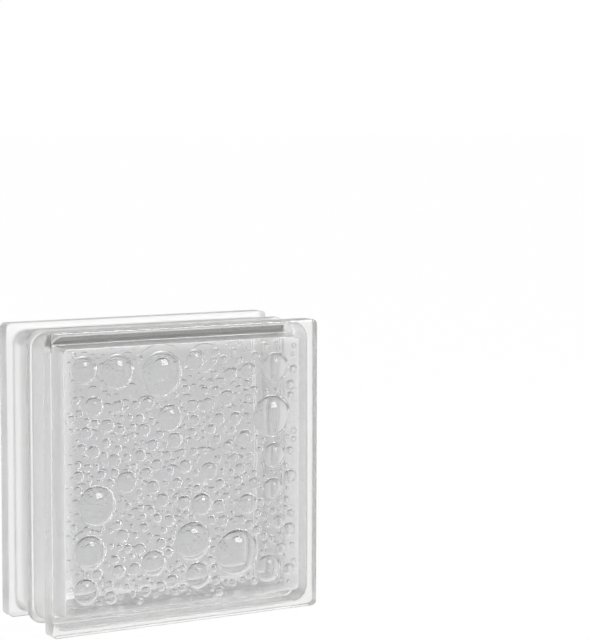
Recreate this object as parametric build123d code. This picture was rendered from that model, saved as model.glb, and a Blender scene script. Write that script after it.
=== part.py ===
"""Hollow glass block of the 190 x 190 x 80 mm standard size, one pane clear and one satin.

Two pressed half shells are fused rim to rim, so the block is hollow and its seam shows as a bead round
the sides. Each pane ends in a flange of full size, with a recessed channel between the flange and
the bead. The panes are flat outside and carry a relief of round dimples, like bubbles, inside.

Millimetres, +Z up. The origin is at the middle of the underside. The clear pane faces -Y.
"""
from build123d import *

import os

# Overall size
block_side = 190.0
block_depth = 80.0

# Flange at each pane
flange_depth = 12.0
flange_corner = 5.0
flange_edge = 1.5
flange_back_edge = 1.0

# Channel between a flange and the seam
channel_recess = 4.0
channel_corner = 9.0
channel_root = 2.0

# Bead of fused glass at the seam
bead_recess = 1.2
bead_half_width = 2.0
bead_corner = 9.5
bead_edge = 1.2

# Glass thickness
pane_thickness = 8.0
wall_thickness = 7.3

# Hollow inside each half
hollow_corner = 6.0
hollow_root = 4.0
hollow_draft = 2.0

# Bubble relief on the inner side of the panes
bubble_depth_ratio = 0.3
bubble_mouth = 0.2
pattern_side = 167.4

# How near two places count as the same
same_place = 0.01

# Larger bubbles of the clear pane, as seen from outside: across and up from the middle, and radius
clear_bubbles = [
    (-70.5, 70.2, 9.1),
    (-47.2, 68.2, 11.2),
    (-16.6, 65.0, 14.6),
    (65.8, 64.7, 9.8),
    (63.3, 32.8, 14.0),
    (65.2, 7.0, 8.5),
    (-10.7, 36.7, 8.8),
    (-61.8, -15.0, 13.1),
    (-66.8, -44.2, 11.2),
    (-69.7, -68.5, 8.6),
    (5.5, -43.9, 13.0),
    (37.7, -54.3, 15.4),
    (60.8, -67.3, 9.2),
    (9.1, -66.4, 8.9),
    (-22.4, -55.2, 8.8),
]

# Larger bubbles of the satin pane, as seen from outside
satin_bubbles = [
    (-70.4, 64.3, 8.9),
    (-47.2, 62.6, 12.1),
    (-14.6, 59.7, 17.0),
    (64.0, 45.0, 11.6),
    (61.0, 15.0, 14.9),
    (34.3, 12.9, 9.3),
    (-62.8, 21.1, 10.6),
    (-46.2, -9.6, 13.8),
    (-69.9, -12.3, 9.4),
    (-22.6, -14.7, 9.7),
    (-53.7, -35.6, 12.3),
    (-26.7, -47.7, 8.6),
    (4.6, -66.4, 9.6),
    (-18.8, -67.3, 8.7),
    (35.4, -56.7, 13.8),
    (-69.4, -54.5, 9.9),
]

half_depth = block_depth / 2
channel_side = block_side - 2 * channel_recess
bead_side = block_side - 2 * bead_recess
pane_side = channel_side - 2 * wall_thickness
hollow_depth = half_depth - pane_thickness
pattern_scale = pane_side / pattern_side


def slab(side, corner, low, high):
    """A rounded square slab across the block, between two distances from the seam."""
    return extrude(Pos(0, 0, low) * RectangleRounded(side, side, corner), amount=high - low)


def level_edges(part, height):
    """The edges that lie all at one distance from the seam."""
    return part.edges().filter_by(Plane.XY).filter_by_position(Axis.Z, height, height)


def rim(part, side, height):
    """The closed loop of edges round a slab of the given side, at one distance from the seam."""
    return ShapeList(
        edge for edge in level_edges(part, height) if abs(reach(edge) - side / 2) < same_place
    )


def reach(edge):
    """How far an edge gets from the block's axis, along either side."""
    box = edge.bounding_box()
    return max(box.max.X, box.max.Y, -box.min.X, -box.min.Y)


def outside():
    """The outer form of one half: flange, channel and half of the bead, with their edges eased."""
    flange_start = half_depth - flange_depth
    body = slab(block_side, flange_corner, flange_start, half_depth)
    body += slab(channel_side, channel_corner, 0, flange_start)
    body += slab(bead_side, bead_corner, 0, bead_half_width)
    body = chamfer(rim(body, channel_side, flange_start), channel_root)
    body = chamfer(rim(body, bead_side, bead_half_width), bead_edge)
    body = chamfer(rim(body, block_side, flange_start), flange_back_edge)
    return fillet(rim(body, block_side, half_depth), flange_edge)


def hollow():
    """The cavity of one half. It widens from the pane to the seam by the draft of the press tool."""
    pane = Pos(0, 0, hollow_depth) * Rot(180, 0, 0) * RectangleRounded(pane_side, pane_side, hollow_corner)
    body = extrude(pane, amount=hollow_depth, taper=-hollow_draft)
    return fillet(level_edges(body, hollow_depth), hollow_root)


def bubble(across, up, radius):
    """A shallow spherical dimple in the inner side of the pane, as the form that is cut away."""
    depth = radius * bubble_depth_ratio
    ball = (radius**2 + depth**2) / (2 * depth)
    layer = slab(2 * ball, ball / 2, hollow_depth - bubble_mouth, half_depth)
    return Pos(across, up, 0) * (layer & Pos(0, 0, hollow_depth + depth - ball) * Rot(90, 0, 0) * Sphere(ball))


def half_shell(bubbles):
    """One pressed half, standing on its rim, with the seam at height 0."""
    body = outside() - hollow()
    for across, up, radius in bubbles:
        body -= bubble(across * pattern_scale, up * pattern_scale, radius * pattern_scale)
    return body


front = Plane(origin=(0, 0, block_side / 2), x_dir=(1, 0, 0), z_dir=(0, -1, 0))
back = Plane(origin=(0, 0, block_side / 2), x_dir=(-1, 0, 0), z_dir=(0, 1, 0))

os.makedirs("parts", exist_ok=True)
for name, place, bubbles in (
    ("clear_half", front, clear_bubbles),
    ("satin_half", back, satin_bubbles),
):
    half = place.location * half_shell(bubbles)
    export_step(half, f"parts/{name}.step")
    print(name, len(half.solids()), round(half.volume), half.bounding_box())
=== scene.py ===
"""Looks of a hollow glass block: clear bubble pane in front, satin pane behind, milky frosted sides.

Lengths are millimetres in the block's own frame and become metres as a mesh is written. Those of the
materials, the lamps and the floor, and the camera's clip end, are metres.
"""
import math
import random

import bpy
import numpy as np
from mathutils import Matrix, Vector
from mathutils.geometry import delaunay_2d_cdt


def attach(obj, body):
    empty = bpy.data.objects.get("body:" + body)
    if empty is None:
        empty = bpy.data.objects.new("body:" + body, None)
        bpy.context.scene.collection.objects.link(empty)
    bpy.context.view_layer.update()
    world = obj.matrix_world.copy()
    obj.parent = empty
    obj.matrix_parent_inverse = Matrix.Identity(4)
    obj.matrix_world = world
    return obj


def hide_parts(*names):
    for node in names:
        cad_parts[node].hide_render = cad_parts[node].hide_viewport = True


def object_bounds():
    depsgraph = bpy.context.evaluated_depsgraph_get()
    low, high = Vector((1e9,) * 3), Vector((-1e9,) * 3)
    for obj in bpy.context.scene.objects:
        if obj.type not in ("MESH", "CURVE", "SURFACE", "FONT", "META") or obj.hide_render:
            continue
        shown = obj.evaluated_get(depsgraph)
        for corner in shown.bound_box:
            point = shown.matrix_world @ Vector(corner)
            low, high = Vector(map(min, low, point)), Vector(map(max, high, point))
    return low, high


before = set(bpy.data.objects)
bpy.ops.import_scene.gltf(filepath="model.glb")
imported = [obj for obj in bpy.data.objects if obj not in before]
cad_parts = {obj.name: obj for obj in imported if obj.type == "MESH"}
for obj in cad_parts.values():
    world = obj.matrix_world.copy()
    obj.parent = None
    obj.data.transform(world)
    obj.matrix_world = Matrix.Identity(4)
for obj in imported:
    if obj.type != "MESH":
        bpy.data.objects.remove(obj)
cad_low, cad_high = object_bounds()

MM = 0.001

# Block sizes, from the frame
SIDE = (cad_high.x - cad_low.x) / MM
HALF_DEPTH = (cad_high.y - cad_low.y) / 2 / MM
MIDDLE = SIDE / 2

# Section of one half. It is that of the solids, with sharper corners and edges and more draft
FLANGE_DEPTH = 12.0
FLANGE_CORNER = 3.5
FLANGE_EDGE = 1.0
FLANGE_BACK_EDGE = 0.6
CHANNEL_RECESS = 4.0
CHANNEL_CORNER = 9.0
CHANNEL_ROOT = 2.0
BEAD_RECESS = 1.2
BEAD_HALF_WIDTH = 2.0
BEAD_CORNER = 9.5
BEAD_EDGE = 1.2
PANE_THICKNESS = 8.0
WALL_THICKNESS = 7.3
HOLLOW_CORNER = 2.5
HOLLOW_ROOT = 0.5
HOLLOW_DRAFT = math.radians(4.5)
SEAM_OVERLAP = 0.01

# Steps of the mesh
CORNER_STEPS = 12
SIDE_STEPS = 6
ARC_STEPS = 5
SHARP_ANGLE = math.radians(32)

# Relief of the panes' inner sides, and the steps of its mesh. A bubble's depth grows with its radius, and
# the ratio limits it
BUBBLE_DEPTH = 1.1
BUBBLE_DEPTH_GAIN = 0.2
BUBBLE_DEPTH_RATIO = 0.55
BUBBLE_RIM_SLOPE = math.radians(66)
BUBBLE_CLEARANCE = 0.15
SATIN_RELIEF = 0.6
RIM_STEP = 0.7
RIM_POINTS = (16, 90)
RINGS = (6, 11)
RING_STEP = 1.2
RING_POINTS_LEAST = 6
SAME_PLACE = 1e-4
CDT_PRECISION = 1e-6

# Bubbles read from the photograph: across and up from the pane's middle as seen from outside, and radius
CLEAR_BUBBLES = [
    (-70.5, 70.2, 9.1), (-47.2, 68.2, 11.2), (-16.6, 65.0, 14.6), (7.2, 72.6, 6.8), (65.8, 64.7, 9.8),
    (63.3, 32.8, 14.0), (65.2, 7.0, 8.5), (-10.7, 36.7, 8.8), (-63.4, 47.3, 6.5), (-61.8, -15.0, 13.1),
    (-66.8, -44.2, 11.2), (-69.7, -68.5, 8.6), (5.5, -43.9, 13.0), (37.7, -54.3, 15.4), (60.8, -67.3, 9.2),
    (9.1, -66.4, 8.9), (-22.4, -55.2, 8.8), (-41.0, -1.7, 7.3), (12.1, -20.5, 7.5), (45.1, -23.5, 7.0),
    (17.2, 0.4, 6.2), (45.8, 63.9, 5.5), (43.6, 19.8, 5.6), (64.5, -14.7, 7.1), (-7.2, 22.3, 5.4),
    (30.4, 46.7, 5.5),
]
SATIN_BUBBLES = [
    (-70.4, 64.3, 8.9), (-47.2, 62.6, 12.1), (-14.6, 59.7, 17.0), (66.2, 69.8, 8.4), (64.0, 45.0, 11.6),
    (61.0, 15.0, 14.9), (34.3, 12.9, 9.3), (-62.8, 21.1, 10.6), (-46.2, -9.6, 13.8), (-69.9, -12.3, 9.4),
    (-22.6, -14.7, 9.7), (-53.7, -35.6, 12.3), (-1.9, -21.7, 7.9), (-26.7, -47.7, 8.6), (4.6, -66.4, 9.6),
    (-18.8, -67.3, 8.7), (35.4, -56.7, 13.8), (-69.4, -54.5, 9.9), (-5.0, 33.1, 7.8), (66.0, -7.9, 7.4),
]

# Small bubbles, scattered between the others. The power on their random share of the radii grows from the
# first try to the last, so that later ones are smaller
SMALL_RADII = (1.6, 4.8)
SMALL_TRIES = 14000
SMALL_COUNT = 420
SIZE_POWER = (0.6, 2.6)
BORDER_CLEARANCE = 1.0
CLEAR_SEED = 7
SATIN_SEED = 11

# Places where small bubbles are rare: across, up, half width, half height, share that stays. Of each cycle
# of tries only the first ones count there
THIN_CYCLE = 97
CLEAR_THIN = [
    (-30.0, 66.0, 50.0, 19.0, 0.03), (-80.0, 0.0, 5.0, 84.0, 0.1), (0.0, -81.0, 84.0, 4.0, 0.1),
    (62.0, 40.0, 20.0, 44.0, 0.15), (-45.0, -35.0, 14.0, 25.0, 0.3), (78.0, 0.0, 4.0, 84.0, 0.2),
]
SATIN_THIN = [
    (-40.0, 66.0, 44.0, 18.0, 0.1), (66.0, 40.0, 16.0, 44.0, 0.1), (-60.0, -30.0, 24.0, 50.0, 0.1),
    (20.0, -66.0, 60.0, 16.0, 0.1),
]

# Material slots of one half, in the order of its mesh's material indices
CAVITY_WALL, OUTER_PANE, FROSTED, SEAM_FACE, INNER_PANE = range(5)

# Glass
GLASS_IOR = 1.52
NOISE_DETAIL = 3
BUMP_DISTANCE = 0.0005
POLISHED_COLOUR = (0.998, 1.0, 0.998)
# Painted shade: the clear pane is darker in its middle and fades to clear towards the frame between these
# distances in metres
PANE_SHADE_COLOUR = (0.6, 0.6, 0.608)
PANE_SHADE_FADE = (0.078, 0.086)
CHANNEL_COLOUR = (0.985, 0.985, 0.98)
# Painted shade: the frosted flange is darker than the channel
FLANGE_SHADE_COLOUR = (0.8, 0.8, 0.79)
FLANGE_MARGIN = 0.0001

# Tint of the seam by height, within a reach to either side. Its dark part is a painted dark reflection,
# which shows as a dark strip under the top edge
SEAM_COLOUR = (0.95, 0.95, 0.94)
SEAM_PAINTED_REFLECTION = (0.27, 0.27, 0.265)
SEAM_REACH = 0.083
SEAM_STOPS_WITH_PAINTED_REFLECTION = [
    (0.012, (1.0, 1.0, 1.0)),
    (0.02, SEAM_COLOUR),
    (0.177, SEAM_COLOUR),
    (0.179, SEAM_PAINTED_REFLECTION),
    (0.1855, SEAM_PAINTED_REFLECTION),
    (0.1865, SEAM_COLOUR),
]

# Camera, from the block's corners in the photograph
EYE = (-622.5, -1225.2, 322.5)
VIEW_AZIMUTH = math.radians(-30.56)
VIEW_ELEVATION = math.radians(5.49)
VIEW_ROLL = math.radians(0.16)
FOCAL_PIXELS = 2131.0
PICTURE_HEIGHT = 640.0
SENSOR = 36.0
CLIP_END = 50.0

# Light paths
BOUNCES = 24
GLOSSY_BOUNCES = 16
DIFFUSE_BOUNCES = 12

# Studio. The room starts and ends, and so does the ceiling, at the sine of an elevation
SWEEP_COLOUR = (1.0, 1.0, 1.0)
ROOM_START = 0.11
ROOM_END = 0.18
ROOM_COLOUR = (0.06, 0.06, 0.06)
CEILING_START = 0.4
CEILING_END = 0.65
CEILING_COLOUR = (1.0, 1.0, 0.99)
FLOOR_SIZE = 60.0
PAPER_COLOUR = (0.85, 0.85, 0.85)
PAPER_ROUGHNESS = 0.9
PAPER_GLOW = 0.985

# Square soft lamps, all aimed at one point: name, place, side and power
LAMP_AIM = (0.0, 0.0, 0.1)
LAMPS = [
    ("top", (0.0, 0.1, 1.2), 1.0, 3.0),
    ("left", (-1.2, -0.3, 0.9), 1.2, 2.0),
    ("right", (1.3, -0.6, 0.6), 0.9, 2.0),
    ("front", (0.75, -1.28, 0.78), 0.6, 18.0),
]


def channel_half():
    """Half the side of the block at its channels."""
    return MIDDLE - CHANNEL_RECESS


def pane_half():
    """Half the side of the pane's inner side."""
    return channel_half() - WALL_THICKNESS


def arc(centre, radius, start, stop, steps):
    """Points of an arc, angles in degrees."""
    points = []
    for i in range(steps + 1):
        a = math.radians(start + (stop - start) * i / steps)
        points.append((centre[0] + radius * math.cos(a), centre[1] + radius * math.sin(a)))
    return points


def outer_profile():
    """Stations of the outer skin from the seam to the pane.

    Each is a distance from the seam, half of the side there, and the corner radius.
    """
    bead = MIDDLE - BEAD_RECESS
    channel = channel_half()
    flange_start = HALF_DEPTH - FLANGE_DEPTH
    rows = [(-SEAM_OVERLAP, bead, BEAD_CORNER)]
    for d, s in arc((BEAD_HALF_WIDTH - BEAD_EDGE, bead - BEAD_EDGE), BEAD_EDGE, 90, 0, ARC_STEPS):
        rows.append((d, s, BEAD_CORNER - (bead - s)))
    rows.append((BEAD_HALF_WIDTH, channel, CHANNEL_CORNER))
    for d, s in arc((flange_start - CHANNEL_ROOT, channel + CHANNEL_ROOT), CHANNEL_ROOT, -90, 0, ARC_STEPS):
        rows.append((d, s, CHANNEL_CORNER + (s - channel)))
    rows.append((flange_start, MIDDLE - FLANGE_BACK_EDGE, FLANGE_CORNER - FLANGE_BACK_EDGE))
    rows.append((flange_start + FLANGE_BACK_EDGE, MIDDLE, FLANGE_CORNER))
    for d, s in arc((HALF_DEPTH - FLANGE_EDGE, MIDDLE - FLANGE_EDGE), FLANGE_EDGE, 90, 0, ARC_STEPS):
        rows.append((d, s, FLANGE_CORNER - (MIDDLE - s)))
    return rows


def inner_profile():
    """Stations of the cavity from the seam to the foot of the pane, like those of the outer skin."""
    floor = HALF_DEPTH - PANE_THICKNESS
    pane = pane_half()
    slope = math.tan(HOLLOW_DRAFT)
    rows = [(-SEAM_OVERLAP, pane + floor * slope, HOLLOW_CORNER + floor * slope)]
    rows.append((floor - HOLLOW_ROOT, pane + HOLLOW_ROOT * slope, HOLLOW_CORNER + HOLLOW_ROOT * slope))
    for d, s in arc((floor - HOLLOW_ROOT, pane - HOLLOW_ROOT), HOLLOW_ROOT, 90, 0, ARC_STEPS)[1:]:
        rows.append((d, s, HOLLOW_CORNER - (pane - s)))
    return rows


def ring(half, corner):
    """Points across and up of a rounded square."""
    points = []
    for quarter in range(4):
        turn = quarter * math.pi / 2
        c, s = math.cos(turn), math.sin(turn)
        reach = half - corner
        local = []
        for i in range(CORNER_STEPS + 1):
            a = math.pi / 2 * i / CORNER_STEPS
            local.append((reach + corner * math.cos(a), reach + corner * math.sin(a)))
        for i in range(1, SIDE_STEPS):
            local.append((reach - 2 * reach * i / SIDE_STEPS, half))
        points += [(x * c - y * s, x * s + y * c) for x, y in local]
    return points


def scatter(bubbles, thin, seed):
    """The given bubbles and small ones between them, none touching another, and few in the thin places."""
    rng = random.Random(seed)
    limit = pane_half() - HOLLOW_ROOT - BORDER_CLEARANCE
    found = list(bubbles)
    for i in range(SMALL_TRIES):
        if len(found) >= len(bubbles) + SMALL_COUNT:
            break
        share = rng.random() ** (SIZE_POWER[0] + (SIZE_POWER[1] - SIZE_POWER[0]) * i / SMALL_TRIES)
        r = SMALL_RADII[0] + (SMALL_RADII[1] - SMALL_RADII[0]) * share
        x = rng.uniform(-limit + r, limit - r)
        y = rng.uniform(-limit + r, limit - r)
        keep = 1.0
        for across, up, half_width, half_height, stays in thin:
            if abs(x - across) < half_width and abs(y - up) < half_height:
                keep = min(keep, stays)
        if i % THIN_CYCLE / THIN_CYCLE > keep:
            continue
        if all(math.hypot(x - a, y - b) > r + c + BUBBLE_CLEARANCE for a, b, c in found):
            found.append((x, y, r))
    return found


def bubble_section(r):
    """An elliptic dimple's section from its rim to its middle, as distances from the middle and depths."""
    depth = min(BUBBLE_DEPTH_RATIO * r, BUBBLE_DEPTH + BUBBLE_DEPTH_GAIN * r)
    steep = math.tan(BUBBLE_RIM_SLOPE)
    edge = 2 * math.atan(math.sqrt(1 - 2 * depth / r / steep))
    flat = steep / math.tan(edge)
    wide = r / math.sin(edge)
    count = min(max(round(r / RING_STEP), RINGS[0]), RINGS[1])
    rows = []
    for k in range(count):
        t = math.atan(math.tan(BUBBLE_RIM_SLOPE * (1 - k / count)) / flat)
        rows.append((wide * math.sin(t), flat * wide * (math.cos(t) - math.cos(edge))))
    rows.append((0.0, depth))
    return rows


def pane_mesh(boundary, bubbles, depth, relief):
    """Points and triangles of a pane's inner side, with dimples sunk into it. The boundary comes first.

    Each dimple has rings of points, with its rim as a closed loop of edges, and a point in its middle.
    """
    points = [Vector(p) for p in boundary]
    n = len(points)
    edges = [(i, (i + 1) % n) for i in range(n)]
    for x, y, r in bubbles:
        count = min(max(round(2 * math.pi * r / RIM_STEP), RIM_POINTS[0]), RIM_POINTS[1])
        start = len(points)
        for k, (d, _) in enumerate(bubble_section(r)[:-1]):
            m = max(round(count * d / r), RING_POINTS_LEAST)
            for i in range(m):
                a = 2 * math.pi * (i + 0.5 * k) / m
                points.append(Vector((x + d * math.cos(a), y + d * math.sin(a))))
        points.append(Vector((x, y)))
        edges += [(start + i, start + (i + 1) % count) for i in range(count)]
    verts, _, faces, _, _, _ = delaunay_2d_cdt(points, edges, [], 0, CDT_PRECISION)
    flat = np.array([(v.x, v.y) for v in verts])
    sunk = np.zeros(len(flat))
    for x, y, r in bubbles:
        rows = bubble_section(r)[::-1]
        d = np.hypot(flat[:, 0] - x, flat[:, 1] - y)
        inside = np.nonzero(d < r - SAME_PLACE)[0]
        sunk[inside] = np.interp(d[inside], [row[0] for row in rows], [row[1] for row in rows])
    return [(p[0], p[1], depth + relief * h) for p, h in zip(flat, sunk)], faces


def half_mesh(name, bubbles, outward):
    """One closed half, with the given bubbles in its pane.

    outward is -1 for the clear half, whose pane faces -Y, and 1 for the satin half.
    """
    verts, faces, kinds = [], [], []

    def loop(row):
        start = len(verts)
        verts.extend((x, y, row[0]) for x, y in ring(row[1], row[2]))
        return start

    n = len(ring(MIDDLE, FLANGE_CORNER))

    def band(a, b, kind, flip=False):
        for i in range(n):
            j = (i + 1) % n
            face = (a + i, a + j, b + j, b + i)
            faces.append(face[::-1] if flip else face)
            kinds.append(kind)

    outer = [loop(row) for row in outer_profile()]
    edge_start = len(outer) - ARC_STEPS - 1
    for k, (a, b) in enumerate(zip(outer, outer[1:])):
        band(a, b, OUTER_PANE if k >= edge_start else FROSTED)
    faces.append(tuple(range(outer[-1], outer[-1] + n)))
    kinds.append(OUTER_PANE)
    inner = [loop(row) for row in inner_profile()]
    for a, b in zip(inner, inner[1:]):
        band(a, b, CAVITY_WALL, flip=True)
    band(inner[0], outer[0], SEAM_FACE)
    last = inner[-1]
    boundary = [verts[last + i][:2] for i in range(n)]
    relief = 1.0 if outward < 0 else SATIN_RELIEF
    pane_verts, pane_faces = pane_mesh(boundary, bubbles, HALF_DEPTH - PANE_THICKNESS, relief)
    index = {}
    for i, (x, y, z) in enumerate(pane_verts):
        if i < n:
            index[i] = last + i
        else:
            index[i] = len(verts)
            verts.append((x, y, z))
    for face in pane_faces:
        faces.append(tuple(index[i] for i in face)[::-1])
        kinds.append(INNER_PANE)
    # Places across the pane and distances from the seam turn into the block's own axes
    placed = [(-outward * x * MM, outward * d * MM, (MIDDLE + y) * MM) for x, y, d in verts]
    mesh = bpy.data.meshes.new(name)
    mesh.from_pydata(placed, [], faces)
    mesh.validate()
    mesh.polygons.foreach_set("material_index", kinds)
    mesh.polygons.foreach_set("use_smooth", [True] * len(mesh.polygons))
    mesh.set_sharp_from_angle(angle=SHARP_ANGLE)
    mesh.update()
    piece = bpy.data.objects.new(name, mesh)
    bpy.context.scene.collection.objects.link(piece)
    return piece


def maths(tree, operation, first, second=None):
    """The result of a maths node on one or two values, each of them a socket or a number."""
    node = tree.nodes.new("ShaderNodeMath")
    node.operation = operation
    for place, value in enumerate((first, second)):
        if isinstance(value, (int, float)):
            node.inputs[place].default_value = value
        elif value is not None:
            tree.links.new(value, node.inputs[place])
    return node.outputs[0]


def axes(tree, kind):
    """X, Y and Z of one kind of texture coordinates."""
    place = tree.nodes.new("ShaderNodeTexCoord")
    split = tree.nodes.new("ShaderNodeSeparateXYZ")
    tree.links.new(place.outputs[kind], split.inputs["Vector"])
    return split.outputs


def fade(tree, value, start, end):
    """A smooth step of a value, from 0 at the start to 1 at the end."""
    node = tree.nodes.new("ShaderNodeMapRange")
    node.interpolation_type = "SMOOTHSTEP"
    node.inputs["From Min"].default_value = start
    node.inputs["From Max"].default_value = end
    tree.links.new(value, node.inputs["Value"])
    return node.outputs["Result"]


def blend(tree, share, first, second):
    """A blend of two colours, each of them a socket or RGB numbers, by the share of the second one."""
    node = tree.nodes.new("ShaderNodeMix")
    node.data_type = "RGBA"
    tree.links.new(share, node.inputs["Factor"])
    for place, colour in (("A", first), ("B", second)):
        if isinstance(colour, tuple):
            node.inputs[place].default_value = (*colour, 1)
        else:
            tree.links.new(colour, node.inputs[place])
    return node.outputs["Result"]


def glass(name, colour, roughness, transmission, roughness_span, noise_scale, bump):
    """Glass whose roughness varies over a span, and whose surface is faintly wavy, both from noise."""
    material = bpy.data.materials.new(name)
    material.use_nodes = True
    nodes, links = material.node_tree.nodes, material.node_tree.links
    shader = nodes["Principled BSDF"]
    shader.inputs["Base Color"].default_value = (*colour, 1)
    shader.inputs["Transmission Weight"].default_value = transmission
    shader.inputs["IOR"].default_value = GLASS_IOR
    place = nodes.new("ShaderNodeTexCoord")
    noise = nodes.new("ShaderNodeTexNoise")
    noise.inputs["Scale"].default_value = noise_scale
    noise.inputs["Detail"].default_value = NOISE_DETAIL
    links.new(place.outputs["Object"], noise.inputs["Vector"])
    span = nodes.new("ShaderNodeMapRange")
    span.inputs["To Min"].default_value = roughness
    span.inputs["To Max"].default_value = roughness + roughness_span
    links.new(noise.outputs["Fac"], span.inputs["Value"])
    links.new(span.outputs["Result"], shader.inputs["Roughness"])
    wave = nodes.new("ShaderNodeBump")
    wave.inputs["Strength"].default_value = bump
    wave.inputs["Distance"].default_value = BUMP_DISTANCE
    links.new(noise.outputs["Fac"], wave.inputs["Height"])
    links.new(wave.outputs["Normal"], shader.inputs["Normal"])
    return material


def colour_from(material, colour):
    """Takes a glass's colour from a socket."""
    tree = material.node_tree
    tree.links.new(colour, tree.nodes["Principled BSDF"].inputs["Base Color"])


def colour_by_height(material, stops, reach):
    """Gives a glass its colour by height. Each stop is a height and a colour.

    Beyond the reach to either side the glass has the first colour.
    """
    tree = material.node_tree
    place = axes(tree, "Object")
    inside = maths(tree, "LESS_THAN", maths(tree, "ABSOLUTE", place["X"]), reach)
    ramp = tree.nodes.new("ShaderNodeValToRGB")
    elements = ramp.color_ramp.elements
    while len(elements) < len(stops):
        elements.new(0.5)
    for element, (height, colour) in zip(elements, stops):
        element.position = height
        element.color = (*colour, 1)
    tree.links.new(maths(tree, "MULTIPLY", place["Z"], inside), ramp.inputs["Fac"])
    colour_from(material, ramp.outputs["Color"])


def paint_pane_shade(material, middle, edge, start, end):
    """Fades a glass from one colour in the middle of the pane to another towards the frame; the darker
    middle is painted shade.
    """
    tree = material.node_tree
    place = axes(tree, "Object")
    across = maths(tree, "ABSOLUTE", place["X"])
    up = maths(tree, "ABSOLUTE", maths(tree, "SUBTRACT", place["Z"], MIDDLE * MM))
    share = fade(tree, maths(tree, "MAXIMUM", across, up), start, end)
    colour_from(material, blend(tree, share, middle, edge))


def paint_flange_shade(material, channel, flange):
    """Gives a frosted glass one colour on its channel and another on its flange, where a darker colour is
    painted shade.
    """
    tree = material.node_tree
    off_seam = maths(tree, "ABSOLUTE", axes(tree, "Object")["Y"])
    flange_start = (HALF_DEPTH - FLANGE_DEPTH) * MM - FLANGE_MARGIN
    on_flange = maths(tree, "GREATER_THAN", off_seam, flange_start)
    colour_from(material, blend(tree, on_flange, channel, flange))


def build_halves():
    """Both halves with their materials, each put in place of the solid that it dresses, which is hidden."""
    clear = glass("clear_polished", POLISHED_COLOUR, 0.0, 1.0, 0.01, 40, 0.02)
    # The clear pane's outer face carries painted shade, darker in its middle
    pane = glass("clear_pane_painted_shade", PANE_SHADE_COLOUR, 0.0, 1.0, 0.01, 40, 0.005)
    paint_pane_shade(pane, PANE_SHADE_COLOUR, POLISHED_COLOUR, *PANE_SHADE_FADE)
    wall = glass("cavity_wall", (0.995, 0.995, 0.99), 0.0, 1.0, 0.01, 40, 0.01)
    # Painted shade: the satin half's inner pane side is darkened all over
    pane_back_painted_shade = glass("pane_back_painted_shade", (0.55, 0.55, 0.56), 0.0, 1.0, 0.01, 40, 0.02)
    satin = glass("satin_etched", (0.97, 0.97, 0.97), 0.2, 1.0, 0.06, 400, 0.1)
    milky = glass("milky_frosted", CHANNEL_COLOUR, 0.25, 0.97, 0.05, 3000, 0.3)
    milky_back = glass("milky_frosted_back", (0.96, 0.96, 0.955), 0.35, 0.94, 0.1, 3000, 0.3)
    # The front half's frosted flange gets a painted shade
    paint_flange_shade(milky, CHANNEL_COLOUR, FLANGE_SHADE_COLOUR)
    seam = glass("fused_seam_with_painted_reflection", SEAM_COLOUR, 0.05, 1.0, 0.05, 300, 0.05)
    # The seam gets a painted dark reflection, a strip under the top edge
    colour_by_height(seam, SEAM_STOPS_WITH_PAINTED_REFLECTION, SEAM_REACH)

    clear_half = half_mesh("clear_half_glass", scatter(CLEAR_BUBBLES, CLEAR_THIN, CLEAR_SEED), -1)
    satin_half = half_mesh("satin_half_glass", scatter(SATIN_BUBBLES, SATIN_THIN, SATIN_SEED), 1)
    for piece, node, slot, materials in (
        (clear_half, "clear_half", "clear_glass", (wall, pane, milky, seam, clear)),
        (satin_half, "satin_half", "satin_glass", (wall, satin, milky_back, seam, pane_back_painted_shade)),
    ):
        for material in materials:
            piece.data.materials.append(material)
        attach(piece, "root")
        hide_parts(node)


def paper_material():
    """White paper that glows plainly to the camera and in glass, and takes light and shadow otherwise.

    A small share of its shading stays in both, and shows the object's shadow.
    """
    paper = bpy.data.materials.new("white_paper")
    paper.use_nodes = True
    tree = paper.node_tree
    base = tree.nodes["Principled BSDF"]
    base.inputs["Base Color"].default_value = (*PAPER_COLOUR, 1)
    base.inputs["Roughness"].default_value = PAPER_ROUGHNESS
    glow = tree.nodes.new("ShaderNodeEmission")
    glow.inputs["Color"].default_value = (1, 1, 1, 1)
    glow.inputs["Strength"].default_value = 1.0
    path = tree.nodes.new("ShaderNodeLightPath").outputs
    seen = maths(tree, "MAXIMUM", path["Is Camera Ray"], path["Is Glossy Ray"])
    seen = maths(tree, "MAXIMUM", seen, path["Is Transmission Ray"])
    mix = tree.nodes.new("ShaderNodeMixShader")
    tree.links.new(maths(tree, "MULTIPLY", seen, PAPER_GLOW), mix.inputs["Fac"])
    tree.links.new(base.outputs["BSDF"], mix.inputs[1])
    tree.links.new(glow.outputs["Emission"], mix.inputs[2])
    tree.links.new(mix.outputs["Shader"], tree.nodes["Material Output"].inputs["Surface"])
    return paper


def build_floor():
    bpy.ops.mesh.primitive_plane_add(size=FLOOR_SIZE, location=(0, 0, 0))
    floor = bpy.context.object
    floor.name = "floor"
    floor.data.materials.append(paper_material())


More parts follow.
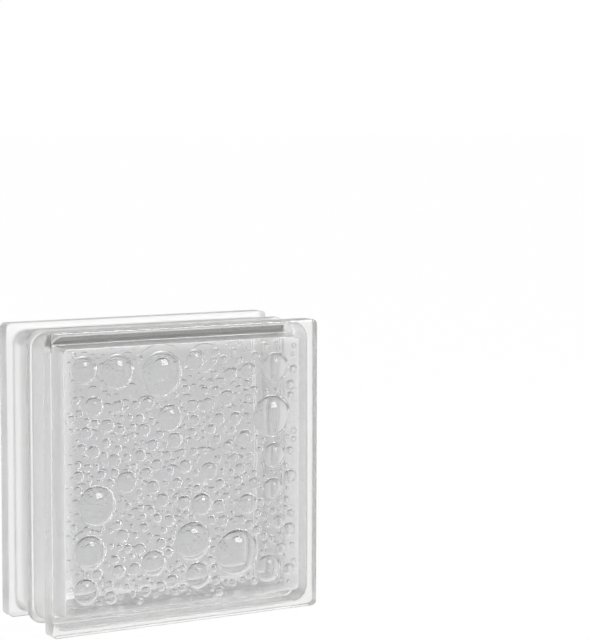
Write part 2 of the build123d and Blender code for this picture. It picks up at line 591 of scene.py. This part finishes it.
def build_room():
    """A world that is white to the camera. To the glass it is a white sweep, a dark room and a ceiling."""
    world = bpy.data.worlds.new("studio")
    bpy.context.scene.world = world
    world.use_nodes = True
    tree = world.node_tree
    sky = tree.nodes["Background"]
    up = axes(tree, "Generated")["Z"]
    path = tree.nodes.new("ShaderNodeLightPath").outputs
    off_camera = maths(tree, "SUBTRACT", 1, path["Is Camera Ray"])
    above_sweep = maths(tree, "MULTIPLY", fade(tree, up, ROOM_START, ROOM_END), off_camera)
    room = blend(tree, fade(tree, up, CEILING_START, CEILING_END), ROOM_COLOUR, CEILING_COLOUR)
    tree.links.new(blend(tree, above_sweep, SWEEP_COLOUR, room), sky.inputs["Color"])
    sky.inputs["Strength"].default_value = 1.0


def lamp(name, place, side, power):
    """A soft square lamp that points at the block."""
    data = bpy.data.lights.new(name, "AREA")
    data.shape = "SQUARE"
    data.size = side
    data.energy = power
    light = bpy.data.objects.new(name, data)
    light.location = place
    light.rotation_euler = (Vector(LAMP_AIM) - Vector(place)).to_track_quat("-Z", "Y").to_euler()
    bpy.context.scene.collection.objects.link(light)


def build_camera():
    data = bpy.data.cameras.new("camera")
    data.sensor_width = SENSOR
    data.lens = FOCAL_PIXELS * SENSOR / PICTURE_HEIGHT
    data.clip_end = CLIP_END
    eye = bpy.data.objects.new("camera", data)
    bpy.context.scene.collection.objects.link(eye)
    a, e = VIEW_AZIMUTH, VIEW_ELEVATION
    back = Vector((math.sin(a) * math.cos(e), -math.cos(a) * math.cos(e), math.sin(e)))
    turn = (-back).to_track_quat("-Z", "Y").to_matrix().to_4x4()
    eye.matrix_world = Matrix.Translation(Vector(EYE) * MM) @ turn @ Matrix.Rotation(VIEW_ROLL, 4, "Z")
    bpy.context.scene.camera = eye


build_halves()
build_room()
build_floor()
for row in LAMPS:
    lamp(*row)
build_camera()

scene = bpy.context.scene
scene.view_settings.view_transform = "Standard"
scene.cycles.max_bounces = BOUNCES
scene.cycles.transmission_bounces = BOUNCES
scene.cycles.glossy_bounces = GLOSSY_BOUNCES
scene.cycles.diffuse_bounces = DIFFUSE_BOUNCES
